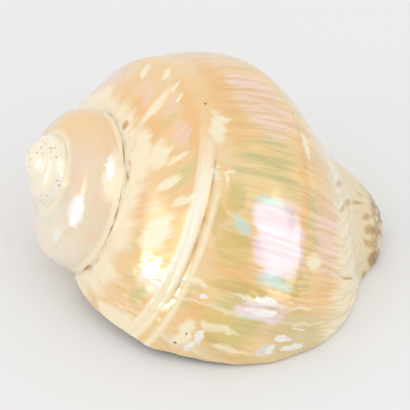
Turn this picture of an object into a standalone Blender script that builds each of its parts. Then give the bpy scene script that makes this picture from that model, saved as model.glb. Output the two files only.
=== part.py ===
"""Polished pearl turban snail shell, lying on its mouth.

Metres, +Z up, the table is the plane z = 0, and the origin is under the middle of the shell.
The shell is one solid: a tube that winds round an axis and grows by the same factor in each
turn, hollowed from the mouth inwards. A place on it is named by two angles in degrees: turn,
along the winding, and lean, round the tube.
"""
import math

import bmesh
import bpy
from mathutils import Euler, Matrix, Vector

# Driving dimensions: metres and degrees, and parts of the shell's length for the tube
SHELL_LENGTH = 0.100      # from the tip to the foot, along the axis
GROWTH = 2.3856           # how many times larger the tube is after each turn
TUBE_FROM_AXIS = 0.1815   # the tube's centre and radius at turn 0
TUBE_FROM_TIP = 0.5044
TUBE_RADIUS = 0.3010
OUTLINE = ((2, -0.0580, 0.0412), (3, 0.0341, 0.0136), (4, 0.0011, -0.0059))
AXIS_PITCH = 34.42        # the tip points up, and the foot down into the table
AXIS_YAW = 16.01
AXIS_ROLL = 4.02
TIP = (-0.04795, -0.00223, 0.0429)

# The winding
FIRST_TURN = -810.0       # the turns before this one are worn down to the ball
LAST_TURN = 153.0
STEP = 9.0
SPIRE_POINTS = 12         # faces across a whorl of the spire
BODY_POINTS = 28          # faces across the rest of the last whorl
BALL_FROM_TIP = 0.088
BALL_RADIUS = 0.076
BALL_SIDES = 24

# Forms on the whorls: heights are parts of the tube's radius
UPPER_BULGE = 0.17        # the spire's whorls are fuller than the last one
BULGE_ENDS = -126.0
BULGE_FADE = 28.6
RIDGE_LEAN = -46.0        # the blunt ridge along the middle of the last whorl
RIDGE_HEIGHT = 0.030
RIDGE_WIDTH = 7.0
RIDGE_STARTS = (-150.0, -60.0)

# Swellings and hollows: lean, width, turn, length and height
SHOULDER = (-50.0, 22.0, -17.0, 45.0, 0.050)
WAIST = (33.0, 23.4, 19.0, 62.0, -0.086)
LOBE = (75.6, 9.6, 27.0, 40.0, 0.391)
LIP_FLARE = (37.0, 25.0, 93.0, 32.0, 0.076)

# The hollow
WALL = 0.022              # part of the shell's length, at turn 0
HOLLOW_POINTS = 22
HOLLOW_TURNS = (-225.0, 216.0)
HOLLOW_TAPER = 54.0
HOLLOW_CENTRE = (0.245, 0.545)
PILLAR_RADIUS = 0.055

# How it rests
FLOOR_TOP = 0.012         # the underside flattens out below this height
FLOOR_LOWEST = -0.0046
FLOOR_FADE = (10.0, 60.0)
LIP_SLOPE = 0.085         # the lip rises this much per metre away from this line
LIP_TOUCHES = ((0.01605, -0.04713), (0.04905, 0.01187))
LIP_BEHIND = -0.00513
LIP_BLEND = 0.008
BASE_HALF = 0.080
BASE_CELLS = 32
BASE_DEPTH = 0.090


def growth(turn):
    return GROWTH ** (turn / 360.0)


def ramp(value, start, end):
    """Rise smoothly from 0 at start to 1 at end."""
    part = min(max((value - start) / (end - start), 0.0), 1.0)
    return part * part * (3.0 - 2.0 * part)


def bell(value, centre, width):
    return math.exp(-((value - centre) / width) ** 2)


def plain_radius(lean):
    """Radius of the plain tube at turn 0."""
    angle = math.radians(lean)
    wave = 1.0
    for count, cosine, sine in OUTLINE:
        wave += cosine * math.cos(count * angle) + sine * math.sin(count * angle)
    return TUBE_RADIUS * wave


def section_point(lean, raised=0.0):
    """Distances from the axis and from the tip, along the axis, at turn 0."""
    radius = plain_radius(lean) * (1.0 + raised)
    angle = math.radians(lean)
    return (TUBE_FROM_AXIS + radius * math.cos(angle), TUBE_FROM_TIP + radius * math.sin(angle))


def halve(low, high, is_low):
    """Close in on the value between low and high where is_low stops being true."""
    for _ in range(50):
        middle = 0.5 * (low + high)
        if is_low(middle):
            low = middle
        else:
            high = middle
    return 0.5 * (low + high)


def steepness(lean):
    radius, height = section_point(lean)
    return radius / height


def outer_lean(inner_lean):
    """The second lean whose ray from the tip is that of inner_lean."""
    aim = steepness(inner_lean)
    return halve(-60.0, 110.0, lambda lean: steepness(lean) > aim)


def whorl_ratio(inner_lean):
    near = math.hypot(*section_point(inner_lean))
    return math.hypot(*section_point(outer_lean(inner_lean))) / near


# The leans where the tube joins the whorl before it, joins the whorl after it, and meets the axis
INNER_LEAN = halve(-105.0, -65.0, lambda lean: whorl_ratio(lean) > GROWTH)
OUTER_LEAN = outer_lean(INNER_LEAN)
AXIS_LEAN = halve(90.0, 170.0, lambda lean: section_point(lean)[0] > 0.0)
TURNING = Euler([math.radians(angle) for angle in (AXIS_ROLL, AXIS_PITCH, AXIS_YAW)]).to_matrix()


def swelling(form, turn, lean):
    form_lean, width, form_turn, length, height = form
    return height * bell(lean, form_lean, width) * bell(turn, form_turn, length)


def relief(turn, lean):
    """Height of the whorls' forms over the plain tube, as a part of its radius."""
    height = 0.0
    if INNER_LEAN < lean < OUTER_LEAN:
        across = math.sin(math.pi * (lean - INNER_LEAN) / (OUTER_LEAN - INNER_LEAN)) ** 2
        height += UPPER_BULGE * across / (1.0 + math.exp((turn - BULGE_ENDS) / BULGE_FADE))
    height += RIDGE_HEIGHT * bell(lean, RIDGE_LEAN, RIDGE_WIDTH) * ramp(turn, *RIDGE_STARTS)
    for form in (SHOULDER, WAIST, LOBE, LIP_FLARE):
        height += swelling(form, turn, lean)
    return height


def placed(turn, radius, height):
    """The point in space of a point of the section, both given at turn 0."""
    angle = math.radians(turn)
    size = growth(turn) * SHELL_LENGTH
    point = Vector((height, -radius * math.sin(angle), radius * math.cos(angle))) * size
    return TURNING @ point + Vector(TIP)


def on_floor(point, turn, lift=0.0):
    """Press the underside of the whorls behind the mouth flat where it would pass the table."""
    drop = FLOOR_TOP - FLOOR_LOWEST
    above = (point.z - lift - FLOOR_LOWEST) / drop
    if above >= 1.0:
        return point
    pressed = FLOOR_TOP * above ** (drop / FLOOR_TOP) if above > 0.0 else 0.3 * above * drop
    share = 1.0 - ramp(turn, *FLOOR_FADE)
    return Vector((point.x, point.y, point.z + share * (pressed + lift - point.z)))


def new_object(bm, name, collection):
    mesh = bpy.data.meshes.new(name)
    bm.to_mesh(mesh)
    bm.free()
    made = bpy.data.objects.new(name, mesh)
    collection.objects.link(made)
    return made


def new_helper(bm, name, collection):
    """A shape that only cuts or joins the shell."""
    helper = new_object(bm, name, collection)
    helper.hide_render = True
    helper.display_type = "WIRE"
    return helper


def wind(bm, edges, first, last):
    """Extrude a row of edges along the winding, growing it a little at each step."""
    turn_layer = bm.verts.layers.float["turn"]
    turning = Matrix.Rotation(math.radians(STEP), 3, "X") * growth(STEP)
    for _ in range(round((last - first) / STEP)):
        made = bmesh.ops.extrude_edge_only(bm, edges=edges)["geom"]
        verts = [item for item in made if isinstance(item, bmesh.types.BMVert)]
        edges = [edge for edge in made if isinstance(edge, bmesh.types.BMEdge)]
        row = set(verts)
        edges = [edge for edge in edges if edge.verts[0] in row and edge.verts[1] in row]
        for vert in verts:
            vert.co = turning @ vert.co
            vert[turn_layer] += STEP
    return edges


def add_row(bm, turn, leans, start=None):
    """A chain of edges across the tube at one turn, from the vertex start if one is given."""
    turn_layer = bm.verts.layers.float["turn"]
    lean_layer = bm.verts.layers.float["lean"]
    turning = Matrix.Rotation(math.radians(turn), 3, "X") * growth(turn)
    verts = [start] if start else []
    for lean in leans[len(verts):]:
        radius, height = section_point(lean)
        vert = bm.verts.new(turning @ Vector((height, 0.0, radius)))
        vert[turn_layer] = turn
        vert[lean_layer] = lean
        verts.append(vert)
    return [bm.edges.new(pair) for pair in zip(verts, verts[1:])]


def spread(start, end, count):
    return [start + (end - start) * index / count for index in range(count + 1)]


def open_edges(bm):
    return [edge for edge in bm.edges if edge.is_boundary]


def make_whorls(collection):
    """The outside of the shell, closed at its tip and across the end of the last whorl."""
    bm = bmesh.new()
    turn_layer = bm.verts.layers.float.new("turn")
    lean_layer = bm.verts.layers.float.new("lean")
    full_turn = LAST_TURN - 360.0
    edges = add_row(bm, FIRST_TURN, spread(INNER_LEAN, OUTER_LEAN, SPIRE_POINTS))
    edges = wind(bm, edges, FIRST_TURN, full_turn)
    ends = {vert for edge in edges for vert in edge.verts}
    joint = max(ends, key=lambda vert: vert[lean_layer])
    edges += add_row(bm, full_turn, spread(OUTER_LEAN, AXIS_LEAN, BODY_POINTS), joint)
    wind(bm, edges, full_turn, LAST_TURN)
    bmesh.ops.remove_doubles(bm, verts=bm.verts, dist=0.00005)
    bmesh.ops.holes_fill(bm, edges=open_edges(bm), sides=0)
    for vert in bm.verts:
        turn, lean = vert[turn_layer], vert[lean_layer]
        vert.co = on_floor(placed(turn, *section_point(lean, relief(turn, lean))), turn)
    bmesh.ops.recalc_face_normals(bm, faces=bm.faces)
    for face in bm.faces:
        face.smooth = True
    return new_object(bm, "shell", collection)


def make_ball(collection):
    """The blunt ball that the first turns are worn down to."""
    bm = bmesh.new()
    size = BALL_RADIUS * SHELL_LENGTH
    bmesh.ops.create_uvsphere(bm, u_segments=BALL_SIDES, v_segments=BALL_SIDES // 2, radius=size)
    bmesh.ops.translate(bm, verts=bm.verts, vec=placed(0.0, 0.0, BALL_FROM_TIP))
    for face in bm.faces:
        face.smooth = True
    return new_helper(bm, "ball", collection)


def room(angle):
    """How far the hollow reaches from its own centre in one direction of the section."""
    along = (math.cos(math.radians(angle)), math.sin(math.radians(angle)))

    def is_inside(reach):
        radius = HOLLOW_CENTRE[0] + reach * along[0]
        height = HOLLOW_CENTRE[1] + reach * along[1]
        out = (radius - TUBE_FROM_AXIS, height - TUBE_FROM_TIP)
        lean = math.degrees(math.atan2(out[1], out[0]))
        if radius < PILLAR_RADIUS or math.hypot(*out) > plain_radius(lean) - WALL:
            return False
        back = (radius - TUBE_FROM_AXIS / GROWTH, height - TUBE_FROM_TIP / GROWTH)
        lean = math.degrees(math.atan2(back[1], back[0]))
        spire_radius = plain_radius(lean) * (1.0 + UPPER_BULGE) / GROWTH
        return math.hypot(*back) > spire_radius + WALL

    return halve(0.05, 0.40, is_inside)


def make_hollow(collection):
    """The inside of the tube, which the animal lived in, open at the mouth."""
    reaches = [room(360.0 * index / HOLLOW_POINTS) for index in range(HOLLOW_POINTS)]
    for _ in range(2):
        reaches = [0.25 * (reaches[index - 1] + 2.0 * reach + reaches[(index + 1) % HOLLOW_POINTS])
                   for index, reach in enumerate(reaches)]
    bm = bmesh.new()
    turn_layer = bm.verts.layers.float.new("turn")
    place_layer = bm.verts.layers.int.new("place")
    ring = bmesh.ops.create_circle(bm, segments=HOLLOW_POINTS, radius=0.01)["verts"]
    for index, vert in enumerate(ring):
        vert[turn_layer] = HOLLOW_TURNS[0]
        vert[place_layer] = index
        vert.co.x += 0.5
    wind(bm, list(bm.edges), *HOLLOW_TURNS)
    bmesh.ops.holes_fill(bm, edges=open_edges(bm), sides=0)
    for vert in bm.verts:
        turn = vert[turn_layer]
        index = vert[place_layer]
        short = 1.0 - min((turn - HOLLOW_TURNS[0]) / HOLLOW_TAPER, 1.0)
        reach = reaches[index] * math.sqrt(max(1.0 - short * short, 0.04))
        angle = 2.0 * math.pi * index / HOLLOW_POINTS
        radius = HOLLOW_CENTRE[0] + reach * math.cos(angle)
        height = HOLLOW_CENTRE[1] + reach * math.sin(angle)
        out = (radius - TUBE_FROM_AXIS, height - TUBE_FROM_TIP)
        lean = math.degrees(math.atan2(out[1], out[0]))
        inwards = swelling(WAIST, turn, lean) * plain_radius(lean) / math.hypot(*out)
        radius += out[0] * inwards
        height += out[1] * inwards
        lift = WALL * SHELL_LENGTH * growth(turn)
        vert.co = on_floor(placed(turn, radius, height), turn, lift)
    bmesh.ops.recalc_face_normals(bm, faces=bm.faces)
    return new_helper(bm, "hollow", collection)


def lip_height(x, y):
    """Height of the mouth's edge over the table: it rises towards the tip."""
    (x_1, y_1), (x_2, y_2) = LIP_TOUCHES
    length = math.hypot(x_2 - x_1, y_2 - y_1)
    away = ((x - x_1) * (y_1 - y_2) + (y - y_1) * (x_2 - x_1)) / length
    return LIP_SLOPE * max(away, 0.0) * ramp(-y, -LIP_BEHIND, -LIP_BEHIND + LIP_BLEND)


def make_base(collection):
    """What is cut away below the shell: the table, and the space under the raised lip."""
    bm = bmesh.new()
    bmesh.ops.create_grid(bm, x_segments=BASE_CELLS, y_segments=BASE_CELLS, size=BASE_HALF)
    for vert in bm.verts:
        vert.co.z = lip_height(vert.co.x, vert.co.y)
    lower = bmesh.ops.extrude_face_region(bm, geom=list(bm.faces))["geom"]
    for vert in lower:
        if isinstance(vert, bmesh.types.BMVert):
            vert.co.z = -BASE_DEPTH
    bmesh.ops.recalc_face_normals(bm, faces=bm.faces)
    return new_helper(bm, "base", collection)


def boolean(target, helper, operation):
    change = target.modifiers.new(helper.name, "BOOLEAN")
    change.object = helper
    change.operation = operation
    change.solver = "EXACT"


def make_material():
    material = bpy.data.materials.new("mother of pearl")
    material.use_nodes = True
    shader = material.node_tree.nodes["Principled BSDF"]
    shader.inputs["Base Color"].default_value = (0.86, 0.68, 0.46, 1.0)
    shader.inputs["Roughness"].default_value = 0.18
    shader.inputs["Metallic"].default_value = 0.0
    return material


def new_collection(name):
    collection = bpy.data.collections.new(name)
    bpy.context.scene.collection.children.link(collection)
    return collection


def main():
    for old in list(bpy.data.objects):
        bpy.data.objects.remove(old, do_unlink=True)
    parts = new_collection("pearl turban shell")
    helpers = new_collection("helpers")
    shell = make_whorls(parts)
    shell.data.materials.append(make_material())
    boolean(shell, make_ball(helpers), "UNION")
    boolean(shell, make_hollow(helpers), "DIFFERENCE")
    boolean(shell, make_base(helpers), "DIFFERENCE")


main()
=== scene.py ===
"""Looks of a polished pearl turban snail shell that lies on its mouth.

The shell is a tube that winds round an axis and grows by the same factor in each turn. A place
on it is named by two angles in degrees: turn, along the winding, and lean, round the tube. Its
age is its turn, put right so that a growth line has the same age all along. One UV map holds turn
and lean and another holds age and lean, both divided by a full circle, so every marking follows
the growth of the shell.
"""

import math

import bmesh
import bpy
from bpy.props import FloatProperty, FloatVectorProperty, PointerProperty
from mathutils import Euler, Matrix, Vector, noise


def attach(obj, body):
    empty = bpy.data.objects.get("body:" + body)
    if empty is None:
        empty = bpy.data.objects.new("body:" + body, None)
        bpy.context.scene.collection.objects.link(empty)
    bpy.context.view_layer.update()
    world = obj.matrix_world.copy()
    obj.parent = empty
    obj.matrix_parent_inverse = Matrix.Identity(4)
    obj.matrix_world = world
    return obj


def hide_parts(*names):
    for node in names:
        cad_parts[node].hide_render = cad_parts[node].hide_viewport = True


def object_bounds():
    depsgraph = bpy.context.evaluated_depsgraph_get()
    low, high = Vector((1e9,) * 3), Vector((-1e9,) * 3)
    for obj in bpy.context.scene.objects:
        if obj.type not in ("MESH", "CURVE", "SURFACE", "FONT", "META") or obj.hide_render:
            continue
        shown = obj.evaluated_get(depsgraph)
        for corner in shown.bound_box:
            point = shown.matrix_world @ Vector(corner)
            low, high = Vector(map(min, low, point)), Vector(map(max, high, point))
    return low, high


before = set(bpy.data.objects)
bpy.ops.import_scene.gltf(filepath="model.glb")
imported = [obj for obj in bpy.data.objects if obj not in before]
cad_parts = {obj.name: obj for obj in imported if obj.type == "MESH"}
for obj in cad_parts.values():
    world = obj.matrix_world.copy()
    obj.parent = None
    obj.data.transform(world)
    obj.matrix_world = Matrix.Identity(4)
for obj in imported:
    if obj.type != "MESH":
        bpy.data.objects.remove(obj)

bl_info = {
    "name": "Pearl Turban Shell",
    "version": (1, 0, 0),
    "blender": (4, 5, 0),
    "location": "View3D > Sidebar > Pearl Shell",
    "description": "Models a polished pearl turban snail shell and a plain stage for it",
    "category": "Add Mesh",
}

SHELL_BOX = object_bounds()

# The tube: metres and degrees, and parts of the shell's length
SHELL_LENGTH = 0.100
GROWTH = 2.3856
TUBE_FROM_AXIS = 0.1815
TUBE_FROM_TIP = 0.5044
TUBE_RADIUS = 0.3010
OUTLINE = ((2, -0.0580, 0.0412), (3, 0.0341, 0.0136), (4, 0.0011, -0.0059))
AXIS_ROLL = 4.02
AXIS_PITCH = 34.42
AXIS_YAW = 16.01
TIP = (-0.04795, -0.00223, 0.0429)

# The winding's rows: within each turn they are closer together in front, and closest by the lip
FIRST_TURN = -810.0
LAST_TURN = 153.0
FRONT_ZONE = (-42.0, 72.0, 0.95)
LIP_ZONE = (72.0, 114.0, 0.42)
PLAIN_STEP = 3.0
SPIRE_POINTS = 56
BODY_POINTS = 104
BALL_FROM_TIP = 0.088
BALL_RADIUS = 0.076
BALL_SIDES = 64

# Forms on the whorls: heights are parts of the tube's radius
UPPER_BULGE = 0.17
BULGE_ENDS = -126.0
BULGE_FADE = 28.6
RIDGE_LEAN = -46.0
RIDGE_HEIGHT = 0.030
RIDGE_WIDTH = 7.0
RIDGE_STARTS = (-150.0, -60.0)
SHOULDER = (-50.0, 22.0, -17.0, 45.0, 0.050)
WAIST = (33.0, 23.4, 19.0, 62.0, -0.086)
LOBE = (75.6, 9.6, 27.0, 40.0, 0.391)
LIP_FLARE = (37.0, 25.0, 93.0, 32.0, 0.076)

# The hollow
WALL = 0.022
HOLLOW_SPOKES = 22
HOLLOW_POINTS = 66
HOLLOW_TURNS = (-225.0, 216.0)
HOLLOW_TAPER = 54.0
HOLLOW_CENTRE = (0.245, 0.545)
PILLAR_RADIUS = 0.055

# How it rests
FLOOR_TOP = 0.012
FLOOR_LOWEST = -0.0046
FLOOR_FADE = (10.0, 60.0)
LIP_SLOPE = 0.085
LIP_TOUCHES = ((0.01605, -0.04713), (0.04905, 0.01187))
LIP_BEHIND = -0.00513
LIP_BLEND = 0.008
LIP_RINGS = (0.04, 0.16, 0.36, 0.64, 1.0)

# Growth lines: they cross the whorl straight, and lean back on the shoulder, base and lip
SHOULDER_LEAN = -48.0
BASE_LEAN = 35.0
SHOULDER_SLANT = 0.65
BASE_SLANT = 0.45
LIP_SLANT = 0.20
LIP_SLANT_TURNS = (55.0, 90.0)

# Fine relief: places in degrees, heights in the sizes below
GROOVE_LINE = (40.0, -41.0, -0.144)
GROOVE_TURNS = (34.0, 46.0, 88.0, 100.0)
SECOND_LINE = (3.5, 3.0)
LIP_FOLDS = ((77.0, 0.2), (83.4, 1.0), (89.5, 0.35), (95.5, 0.9), (100.5, 0.45), (105.0, 0.4))
FOLD_RISE = 6.0
FOLD_DROP = 1.1
ROUGH_AGES = (60.0, 95.0)
LINED_FROM = (-60.0, 20.0)
FLAKES_START = (58.0, 66.0)
FLAKES_END = (88.0, 96.0)
CRACK_WIDTH = 1.1

# Where the looks change, in degrees of turn, age or lean as the name says
LINED_TURNS = (-60.0, 0.0)
LINED_LEANS = (-34.0, -22.0)
PALE_SPIRE = (-280.0, -230.0)
PEACH_SPIRE = (-365.0, 60.0)
SPIRE_ENDS = (-190.0, -110.0)
SPIRE_RIM_ENDS = (-200.0, -180.0)
TIP_ENDS = (-560.0, -470.0)
PITS_END = (-560.0, -520.0)
FRINGE_GROWS = (-200.0, -100.0)
WORN_AGES = (78.0, 92.0)
WORN_LEANS = (-10.0, 8.0)
BASE_EDGE = (37.0, 50.0)
AGED_LOBE = (52.0, 66.0)
FLAKED_LEANS = (62.0, 74.0)
FLAKED_TURNS = (8.0, 30.0)

# Bands beside the groove: middle and width off it, and the turns where they start or end
RIDGE_BAND = (-4.6, 6.0)
RIDGE_BAND_STARTS = (20.0, 60.0)
PALE_BAND_ENDS = (76.0, 90.0)
LOWER_BAND = (3.2, 2.4)
LOWER_BAND_STARTS = (40.0, 60.0)
DIRT_STARTS = (34.0, 44.0)
DIRT_ENDS = (86.0, 92.0)

# Materials: degrees that markings stray, degrees for each metre in the mouth, and metres
STRAY_REACH = (7.0, 13.0, 0.0)
MOUTH_DRIFT = (400.0, 400.0, 400.0)
GLOW_DEPTH = 0.006
BUMP_HEIGHT = 0.0002

# Distances in metres under which points become one
SEAM_GAP = 0.00002
MERGE_GAP = 0.000002

# The lights stand round this point and face it
LIGHT_AIM = (0.0, 0.0, 0.03)
LIGHT_DISTANCE = 0.7

# The camera, on a 36 mm sensor
CAMERA_PLACE = (0.024857, -0.437504, 0.342774)
CAMERA_AIM = (-0.00095, 0.02187, 0.0041093)
CAMERA_ROLL = -5.27
CAMERA_LENS = 171.05


def srgb(text):
    """Linear colour of a hexadecimal one."""
    parts = [int(text[index:index + 2], 16) / 255.0 for index in (0, 2, 4)]
    return tuple(part / 12.92 if part < 0.04045 else ((part + 0.055) / 1.055) ** 2.4
                 for part in parts)


def growth(turn):
    return GROWTH ** (turn / 360.0)


def ramp(value, start, end):
    """Rise smoothly from 0 at start to 1 at end."""
    part = min(max((value - start) / (end - start), 0.0), 1.0)
    return part * part * (3.0 - 2.0 * part)


def bell(value, centre, width):
    return math.exp(-((value - centre) / width) ** 2)


def plain_radius(lean):
    """Radius of the plain tube at turn 0."""
    angle = math.radians(lean)
    wave = 1.0
    for count, cosine, sine in OUTLINE:
        wave += cosine * math.cos(count * angle) + sine * math.sin(count * angle)
    return TUBE_RADIUS * wave


def section_point(lean, raised=0.0):
    """Distances from the axis and from the tip, along the axis, at turn 0."""
    radius = plain_radius(lean) * (1.0 + raised)
    angle = math.radians(lean)
    return (TUBE_FROM_AXIS + radius * math.cos(angle), TUBE_FROM_TIP + radius * math.sin(angle))


def halve(low, high, is_low):
    """Close in on the value between low and high where is_low stops being true."""
    for _ in range(50):
        middle = 0.5 * (low + high)
        if is_low(middle):
            low = middle
        else:
            high = middle
    return 0.5 * (low + high)


def steepness(lean):
    radius, height = section_point(lean)
    return radius / height


def outer_lean(inner_lean):
    """The second lean whose ray from the tip is that of inner_lean."""
    aim = steepness(inner_lean)
    return halve(-60.0, 110.0, lambda lean: steepness(lean) > aim)


def whorl_ratio(inner_lean):
    near = math.hypot(*section_point(inner_lean))
    return math.hypot(*section_point(outer_lean(inner_lean))) / near


INNER_LEAN = halve(-105.0, -65.0, lambda lean: whorl_ratio(lean) > GROWTH)
OUTER_LEAN = outer_lean(INNER_LEAN)
AXIS_LEAN = halve(90.0, 170.0, lambda lean: section_point(lean)[0] > 0.0)
TURNING = Euler([math.radians(angle) for angle in (AXIS_ROLL, AXIS_PITCH, AXIS_YAW)]).to_matrix()


def swelling(form, turn, lean):
    form_lean, width, form_turn, length, height = form
    return height * bell(lean, form_lean, width) * bell(turn, form_turn, length)


def relief(turn, lean):
    """Height of the whorls' forms over the plain tube, as a part of its radius."""
    height = 0.0
    if INNER_LEAN < lean < OUTER_LEAN:
        across = math.sin(math.pi * (lean - INNER_LEAN) / (OUTER_LEAN - INNER_LEAN)) ** 2
        height += UPPER_BULGE * across / (1.0 + math.exp((turn - BULGE_ENDS) / BULGE_FADE))
    height += RIDGE_HEIGHT * bell(lean, RIDGE_LEAN, RIDGE_WIDTH) * ramp(turn, *RIDGE_STARTS)
    for form in (SHOULDER, WAIST, LOBE, LIP_FLARE):
        height += swelling(form, turn, lean)
    return height


def groove_lean(turn):
    start, lean, slope = GROOVE_LINE
    return lean + slope * (turn - start)


def growth_age(turn, lean):
    """The turn that a growth line through this place has between the ridge and the base."""
    age = turn + SHOULDER_SLANT * min(lean - SHOULDER_LEAN, 0.0)
    age += BASE_SLANT * max(lean - BASE_LEAN, 0.0)
    across = min(max(lean, SHOULDER_LEAN), BASE_LEAN) - SHOULDER_LEAN
    return age + LIP_SLANT * ramp(turn, *LIP_SLANT_TURNS) * across


def fold_wave(fold, lean):
    """How far a fold beside the lip strays from its growth line, in degrees."""
    return 1.8 * noise.noise((fold, lean * 0.12, 7.0)) + 0.7 * noise.noise((fold, lean * 0.40, 3.0))


def fold_strength(fold, lean):
    return 0.15 + 0.85 * ramp(noise.noise((fold * 3.0, lean * 0.08, 5.0)), -0.25, 0.35)


def fold_height(age, lean):
    """Folds like shingles: each rises slowly and drops at its crest."""
    height = 0.0
    for fold, strength in LIP_FOLDS:
        crest = fold + fold_wave(fold, lean)
        rise = ramp(age, crest - FOLD_RISE, crest) * (1.0 - ramp(age, crest, crest + FOLD_DROP))
        height += strength * fold_strength(fold, lean) * rise
    return height


def fold_crest_and_shade(age, lean):
    """1 on the thin worn crest of a fold, and -1 in the step just past it, which is given a painted
    shade.
    """
    mark = 0.0
    for fold, strength in LIP_FOLDS:
        off = age - fold - fold_wave(fold, lean)
        share = min(strength * 1.6, 1.0) * fold_strength(fold, lean)
        width = 0.8 + 0.9 * ramp(noise.noise((fold, lean * 0.10, 15.0)), -0.2, 0.5)
        mark += share * (bell(off, 0.0, width) - 0.9 * bell(off, width + 1.1, 0.9))
    return mark


def fine_relief(turn, lean, sizes):
    """Height in metres of what the polish left: growth lines, folds, the groove and the flakes."""
    age = growth_age(turn, lean)
    lines = noise.noise((age * 0.85, lean * 0.018, 1.0))
    lines += 0.6 * noise.noise((age * 1.9, lean * 0.03, 2.0))
    near_lip = ramp(age, *ROUGH_AGES)
    height = sizes.growth_lines * lines * (0.25 + near_lip) * ramp(turn, *LINED_FROM)
    body = ramp(lean, -80.0, -55.0)
    height += sizes.lip_folds * body * fold_height(age, lean)
    height += sizes.lip_folds * 0.5 * near_lip * noise.noise((age * 0.20, lean * 0.11, 9.0))
    height += sizes.lip_folds * 0.30 * near_lip * noise.noise((age * 0.60, lean * 0.33, 4.0))
    rise, full, fall, end = GROOVE_TURNS
    along = ramp(turn, rise, full) * (1.0 - ramp(turn, fall, end))
    centre = groove_lean(turn) + 0.7 * noise.noise((turn * 0.12, 3.0, 1.0))
    height -= sizes.groove * along * bell(lean, centre, 0.9)
    height += sizes.groove * 0.9 * along * bell(lean, centre - 3.0, 1.8)
    line_lean, width = SECOND_LINE
    height += sizes.groove * 0.8 * ramp(turn, -30.0, 30.0) * bell(lean, line_lean, width)
    height -= lobe_flakes(turn, lean, sizes)
    return height


def lobe_flakes(turn, lean, sizes):
    """Steps where thin layers have flaked off the edge of the lobe."""
    zone = ramp(lean, *FLAKES_START) * (1.0 - ramp(lean, *FLAKES_END)) * ramp(turn, 0.0, 30.0)
    if zone <= 0.0:
        return 0.0
    wave = 2.5 * noise.noise((turn * 0.10, lean * 0.05, 12.0))
    steps = (lean * 0.22 + wave) % 1.0
    return sizes.flakes * zone * ramp(steps, 0.0, 0.8) * (1.0 - ramp(steps, 0.9, 1.0))


def suture_crack(turn, lean, sizes):
    """Depth of the broken line where a whorl meets the next."""
    is_upper = abs(lean - INNER_LEAN) < abs(lean - OUTER_LEAN)
    if not is_upper and turn > LAST_TURN - 360.0:
        return 0.0
    gap = abs(lean - (INNER_LEAN if is_upper else OUTER_LEAN))
    whorl_turn = turn if is_upper else turn + 360.0
    strength = ramp(noise.noise((whorl_turn * 0.05, 0.0, 21.0)), -0.35, 0.25)
    return sizes.crack * strength * bell(gap, 0.0, CRACK_WIDTH) * min(growth(whorl_turn), 1.0)


def placed(turn, radius, height):
    """The point in space of a point of the section, both given at turn 0."""
    angle = math.radians(turn)
    size = growth(turn) * SHELL_LENGTH
    point = Vector((height, -radius * math.sin(angle), radius * math.cos(angle))) * size
    return TURNING @ point + Vector(TIP)


def on_floor(point, turn, lift=0.0):
    """Press the underside of the whorls behind the mouth flat where it would pass the table."""
    drop = FLOOR_TOP - FLOOR_LOWEST
    above = (point.z - lift - FLOOR_LOWEST) / drop
    if above >= 1.0:
        return point
    pressed = FLOOR_TOP * above ** (drop / FLOOR_TOP) if above > 0.0 else 0.3 * above * drop
    share = 1.0 - ramp(turn, *FLOOR_FADE)
    return Vector((point.x, point.y, point.z + share * (pressed + lift - point.z)))


def lip_height(x, y):
    """Height of the mouth's edge over the table: it rises towards the tip."""
    (x_1, y_1), (x_2, y_2) = LIP_TOUCHES
    length = math.hypot(x_2 - x_1, y_2 - y_1)
    away = ((x - x_1) * (y_1 - y_2) + (y - y_1) * (x_2 - x_1)) / length
    return LIP_SLOPE * max(away, 0.0) * ramp(-y, -LIP_BEHIND, -LIP_BEHIND + LIP_BLEND)


def new_object(bm, name):
    mesh = bpy.data.meshes.new(name)
    bm.to_mesh(mesh)
    bm.free()
    made = bpy.data.objects.new(name, mesh)
    bpy.context.scene.collection.objects.link(made)
    return made


def step_after(turn):
    """Distance from one row to the next."""
    for start, end, step in (FRONT_ZONE, LIP_ZONE):
        if (turn - start + 0.001) % 360.0 < end - start:
            return step
    return PLAIN_STEP


def wind(bm, edges, first, last, fixed_step=None):
    """Extrude a row of edges along the winding, growing it a little at each step."""
    turn_layer = bm.verts.layers.float["turn"]
    turn = first
    while turn < last - 0.01:
        step = fixed_step or step_after(turn)
        turning = Matrix.Rotation(math.radians(step), 3, "X") * growth(step)
        made = bmesh.ops.extrude_edge_only(bm, edges=edges)["geom"]
        verts = [item for item in made if isinstance(item, bmesh.types.BMVert)]
        row = set(verts)
        edges = [item for item in made if isinstance(item, bmesh.types.BMEdge)]
        edges = [edge for edge in edges if edge.verts[0] in row and edge.verts[1] in row]
        turn += step
        for vert in verts:
            vert.co = turning @ vert.co
            vert[turn_layer] = turn
    return edges


def add_row(bm, turn, leans, start=None):
    """A chain of edges across the tube at one turn, from the vertex start if one is given."""
    turn_layer = bm.verts.layers.float["turn"]
    lean_layer = bm.verts.layers.float["lean"]
    turning = Matrix.Rotation(math.radians(turn), 3, "X") * growth(turn)
    verts = [start] if start else []
    for lean in leans[len(verts):]:
        radius, height = section_point(lean)
        vert = bm.verts.new(turning @ Vector((height, 0.0, radius)))
        vert[turn_layer] = turn
        vert[lean_layer] = lean
        verts.append(vert)
    return [bm.edges.new(pair) for pair in zip(verts, verts[1:])]


def spread(start, end, count):
    return [start + (end - start) * index / count for index in range(count + 1)]


def open_edges(bm):
    return [edge for edge in bm.edges if edge.is_boundary]


def start_mesh():
    """An empty bmesh whose vertices can carry their turn, lean and crest, the last also marking the
    painted shade past each fold's crest.
    """
    bm = bmesh.new()
    return (bm, *(bm.verts.layers.float.new(name) for name in ("turn", "lean", "crest")))


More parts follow.
